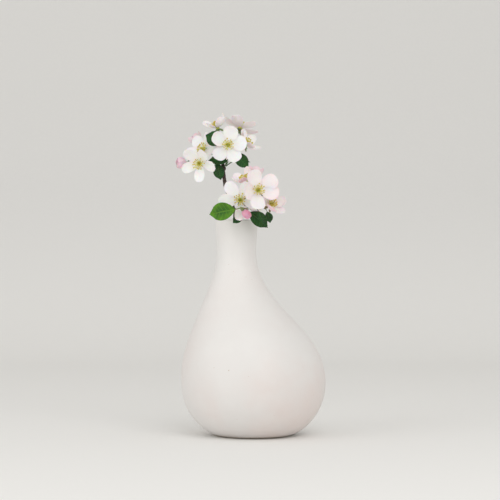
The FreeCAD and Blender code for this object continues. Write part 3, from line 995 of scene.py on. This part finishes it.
def leaf_mould():
    """A flat leaf one unit long and one wide, growing up from the origin, facing forward."""
    bpy.ops.mesh.primitive_grid_add(
        x_subdivisions=LEAF_COLUMNS, y_subdivisions=LEAF_ROWS, size=1, calc_uvs=True,
        location=(0, 0, 0.5), rotation=(math.pi / 2, 0, 0),
    )
    mould = settle(bpy.context.object)
    mould.name = "leaf_mould"
    edit(mould)
    for row in range(LEAF_ROWS + 1):
        level = row / LEAF_ROWS
        pick(mould, lambda co: abs(co.z - level) < 0.3 / LEAF_ROWS)
        wide = max(0.02, 2 * leaf_half_width(min(1.0, max(0.0, level))))
        bpy.ops.transform.resize(value=(wide, 1, 1), center_override=(0, 0, level))
        if row % ROWS_PER_VEIN == 2:
            bpy.ops.transform.translate(value=(0, VEIN_DEPTH, 0))
    pick(mould, lambda co: abs(co.x) < 0.001)
    bpy.ops.transform.translate(value=(0, MIDRIB_DEPTH, 0))
    leave(mould)
    edge_points = {}
    for vertex in mould.data.vertices:
        row = round(vertex.co.z * LEAF_ROWS)
        side = vertex.co.x > 0
        if (row, side) not in edge_points or abs(vertex.co.x) > abs(edge_points[row, side].co.x):
            edge_points[row, side] = vertex
    for (row, side), vertex in edge_points.items():
        if row % 2 and 2 < row < LEAF_ROWS - 1:
            vertex.co.x += TOOTH[0] if side else -TOOTH[0]
            vertex.co.z += TOOTH[1]
    for vertex in mould.data.vertices:
        room = min(1.0, 3.0 * (1.0 - vertex.co.z))
        vertex.co.z += VEIN_SLANT * abs(vertex.co.x) * room - 0.02
    modifier(mould, "SUBSURF", levels=1, render_levels=1)
    mould.hide_render = True
    return mould


leaf_shape = leaf_mould()
print("leaf mould faces", len(leaf_shape.data.polygons))

# %% Leaf finish


def leaf_finish(name, dark, mid, vein, underside, painted_shade_middle=0.0):
    """Veined leaf skin; a share of dark green painted shade may lie over the middle of the blade.
    """
    finish = Finish(
        name, Subsurface_Weight=0.08, Subsurface_Scale=0.002, Specular_IOR_Level=0.3
    )
    strip = finish.strip()
    middle = (strip.part("X") - 0.5).size()
    slanted = strip.part("Y") * (LEAF_ROWS / ROWS_PER_VEIN)
    ribs = (slanted * (2 * math.pi)).wave().rise(0.80, 1.0) * middle.rise(0.0, 0.05)
    midrib = 1.0 - middle.rise(0.015, 0.045)
    place = finish.place
    cells = place.node("ShaderNodeTexVoronoi", {"feature": "DISTANCE_TO_EDGE"},
                       {"Vector": place, "Scale": 900.0})
    netting = 1.0 - cells.rise(0.0, 0.25)
    patches = place.noise(160.0, 4.0).rise(0.3, 0.7)
    base = patches.blend(dark, mid)
    from_middle = (strip.part("Y") - 0.5).size()
    painted_shade_patch = (1.0 - middle.rise(0.05, 0.38)) * (1.0 - from_middle.rise(0.1, 0.4))
    # Painted shade: dark green laid over the middle of the blade, as a shadow painted on.
    base = (painted_shade_middle * painted_shade_patch).blend(base, colour(0.012, 0.085, 0.010))
    base = (0.25 * netting + 0.5 * ribs).blend(base, vein)
    base = (0.75 * midrib).blend(base, vein)
    base = finish.mark("underside").rise(0.3, 0.7).blend(base, underside)
    roughness = 0.38 + 0.18 * patches + 0.1 * netting
    height = 0.0 - 0.5 * netting - ribs - midrib
    return finish.wear(base, roughness, height, depth=0.0002, strength=0.5)


deep_leaf = leaf_finish(
    "green_leaf", colour(0.004, 0.032, 0.008), colour(0.014, 0.090, 0.014),
    colour(0.045, 0.16, 0.035), colour(0.08, 0.18, 0.06),
)
# The bright leaf gets 0.85 of painted shade over the middle of its blade.
young_leaf = leaf_finish(
    "bright_leaf", colour(0.030, 0.13, 0.004), colour(0.085, 0.26, 0.008),
    colour(0.12, 0.29, 0.025), colour(0.12, 0.26, 0.05), 0.85,
)

# %% [markdown]
# ## Laying a leaf
#
# Each leaf is a copy that is stretched to its solid's length and width, folded up a little
# along the midrib, bent back along its length, thickened, and turned into place. Its stalk
# is a thin rod that is extruded along a short curve from the twig to the foot of the
# blade. Blade and stalk are joined, because they are one growth.

# %% Leaf stalks


def leaf_stalk(name, root, base, along, upper, radius=0.5 * MM, steps=6):
    """A thin curved rod from the twig to the blade, which it meets along the midrib."""
    reach = (base - root).length
    bend = base - along * 0.35 * reach
    path = []
    for step in range(steps + 1):
        share = step / steps
        path.append(root * (1 - share) ** 2 + bend * 2 * share * (1 - share) + base * share ** 2)
    path.append(base + along * 1.5 * MM)
    away = (path[1] - path[0]).to_track_quat("Z", "Y").to_euler()
    bpy.ops.mesh.primitive_circle_add(
        vertices=8, radius=1.25 * radius, fill_type="NGON", location=path[0], rotation=away
    )
    rod = settle(bpy.context.object)
    rod.name = name
    edit(rod)
    bpy.ops.mesh.select_all(action="SELECT")
    for here, there in zip(path, path[1:]):
        bpy.ops.mesh.extrude_region_move(TRANSFORM_OT_translate={"value": there - here})
        bpy.ops.transform.resize(value=(0.94, 0.94, 0.94))
    bpy.ops.mesh.select_all(action="SELECT")
    bpy.ops.mesh.normals_make_consistent(inside=False)
    leave(rod)
    modifier(rod, "SUBSURF", levels=1, render_levels=1)
    paint(rod, "underside", [1.0] * len(rod.data.vertices))
    return rod


# %% Leaves
LEAF_THICKNESS = 0.32 * MM


def lay_leaf(name):
    """A leaf shaped from the mould and laid where its solid lies, on its own stalk."""
    base, tip, upper, width, root = leaves[name]
    length = (tip - base).length
    along = (tip - base).normalized()
    blade = own_copy(leaf_shape, f"{name}_blade")
    blade.hide_render = False
    blade.data.transform(Matrix.Diagonal((width, 0.5 * width, length, 1)))
    fold = chance.uniform(0.10, 0.30)
    for vertex in blade.data.vertices:
        vertex.co.y -= fold * abs(vertex.co.x)
    modifier(blade, "SIMPLE_DEFORM", deform_method="BEND", deform_axis="X",
             angle=chance.uniform(0.25, 0.6))
    sheet_points = len(blade.data.vertices)
    modifier(blade, "SOLIDIFY", thickness=LEAF_THICKNESS, offset=-1)
    under = [float(index >= sheet_points) for index in range(len(blade.data.vertices))]
    paint(blade, "underside", under)
    modifier(blade, "SUBSURF", levels=1, render_levels=1)
    points = np.array([tuple(vertex.co) for vertex in blade.data.vertices])
    far_end = Vector(points[points[:, 2].argmax()])
    slope = math.atan2(far_end.y, far_end.z)
    stretch = length / math.hypot(far_end.y, far_end.z)
    blade.data.transform(Matrix.Scale(stretch, 4) @ Matrix.Rotation(slope, 4, "X"))
    side = along.cross(upper).normalized()
    basis = Matrix((side, -upper, along)).transposed().to_4x4()
    blade.data.transform(Matrix.Translation(base) @ basis)
    rod = leaf_stalk(f"{name}_stalk", root, base, along, upper)
    return join([blade, rod], f"{name}_blade")


for name in leaf_names:
    leaf = lay_leaf(name)
    bright = name == "short_leaf_1"
    give(leaf, young_leaf if bright else deep_leaf)
    hand_in(leaf, name)
print(len(leaf_names), "leaves,", len(leaf.data.polygons), "faces in the last")

# %% [markdown]
# ## Flower stalks
#
# The stalks and sepals keep the shape they have in the frame. Young stalks are green,
# reddish where the sun reaches them, and covered in pale down.
#
# The floor gets its paper last, a little darker where it turns up into the wall.

# %% Stalk finish


def stalk_finish():
    """Downy green, flushed red in patches."""
    finish = Finish("green_stalk", Sheen_Weight=0.35, Sheen_Roughness=0.5)
    place = finish.place
    sun = place.noise(120.0, 3.0).rise(0.45, 0.75)
    base = sun.blend(colour(0.12, 0.21, 0.045), colour(0.22, 0.13, 0.06))
    down = place.noise(3000.0, 2.0)
    base = (0.35 * down.rise(0.5, 0.8)).blend(base, colour(0.40, 0.45, 0.28))
    return finish.wear(base, 0.6 + 0.2 * down, down, depth=0.0002, strength=0.6)


downy_green = stalk_finish()
for name in nodes:
    if name.endswith("_stalk"):
        give(nodes[name], downy_green)
print("stalks", sum(name.endswith("_stalk") for name in nodes))

# %% Floor finish


def floor_finish():
    """Pale paper with fine fibres, darker up the wall."""
    finish = Finish("studio_paper")
    place = finish.place
    fibres = place.noise(220.0, 4.0)
    wall = place.part("Z").rise(0.0, 0.3)
    paper = wall.blend(colour(0.90, 0.895, 0.875), colour(0.79, 0.785, 0.77))
    base = (0.4 * fibres).blend(paper, colour(0.86, 0.855, 0.835))
    return finish.wear(base, 0.75 + 0.1 * fibres, fibres, depth=0.0002, strength=0.2)


give(floor, floor_finish())
for mould in petal_moulds + [stamen, leaf_shape]:
    bpy.data.objects.remove(mould)
print("moulds removed")
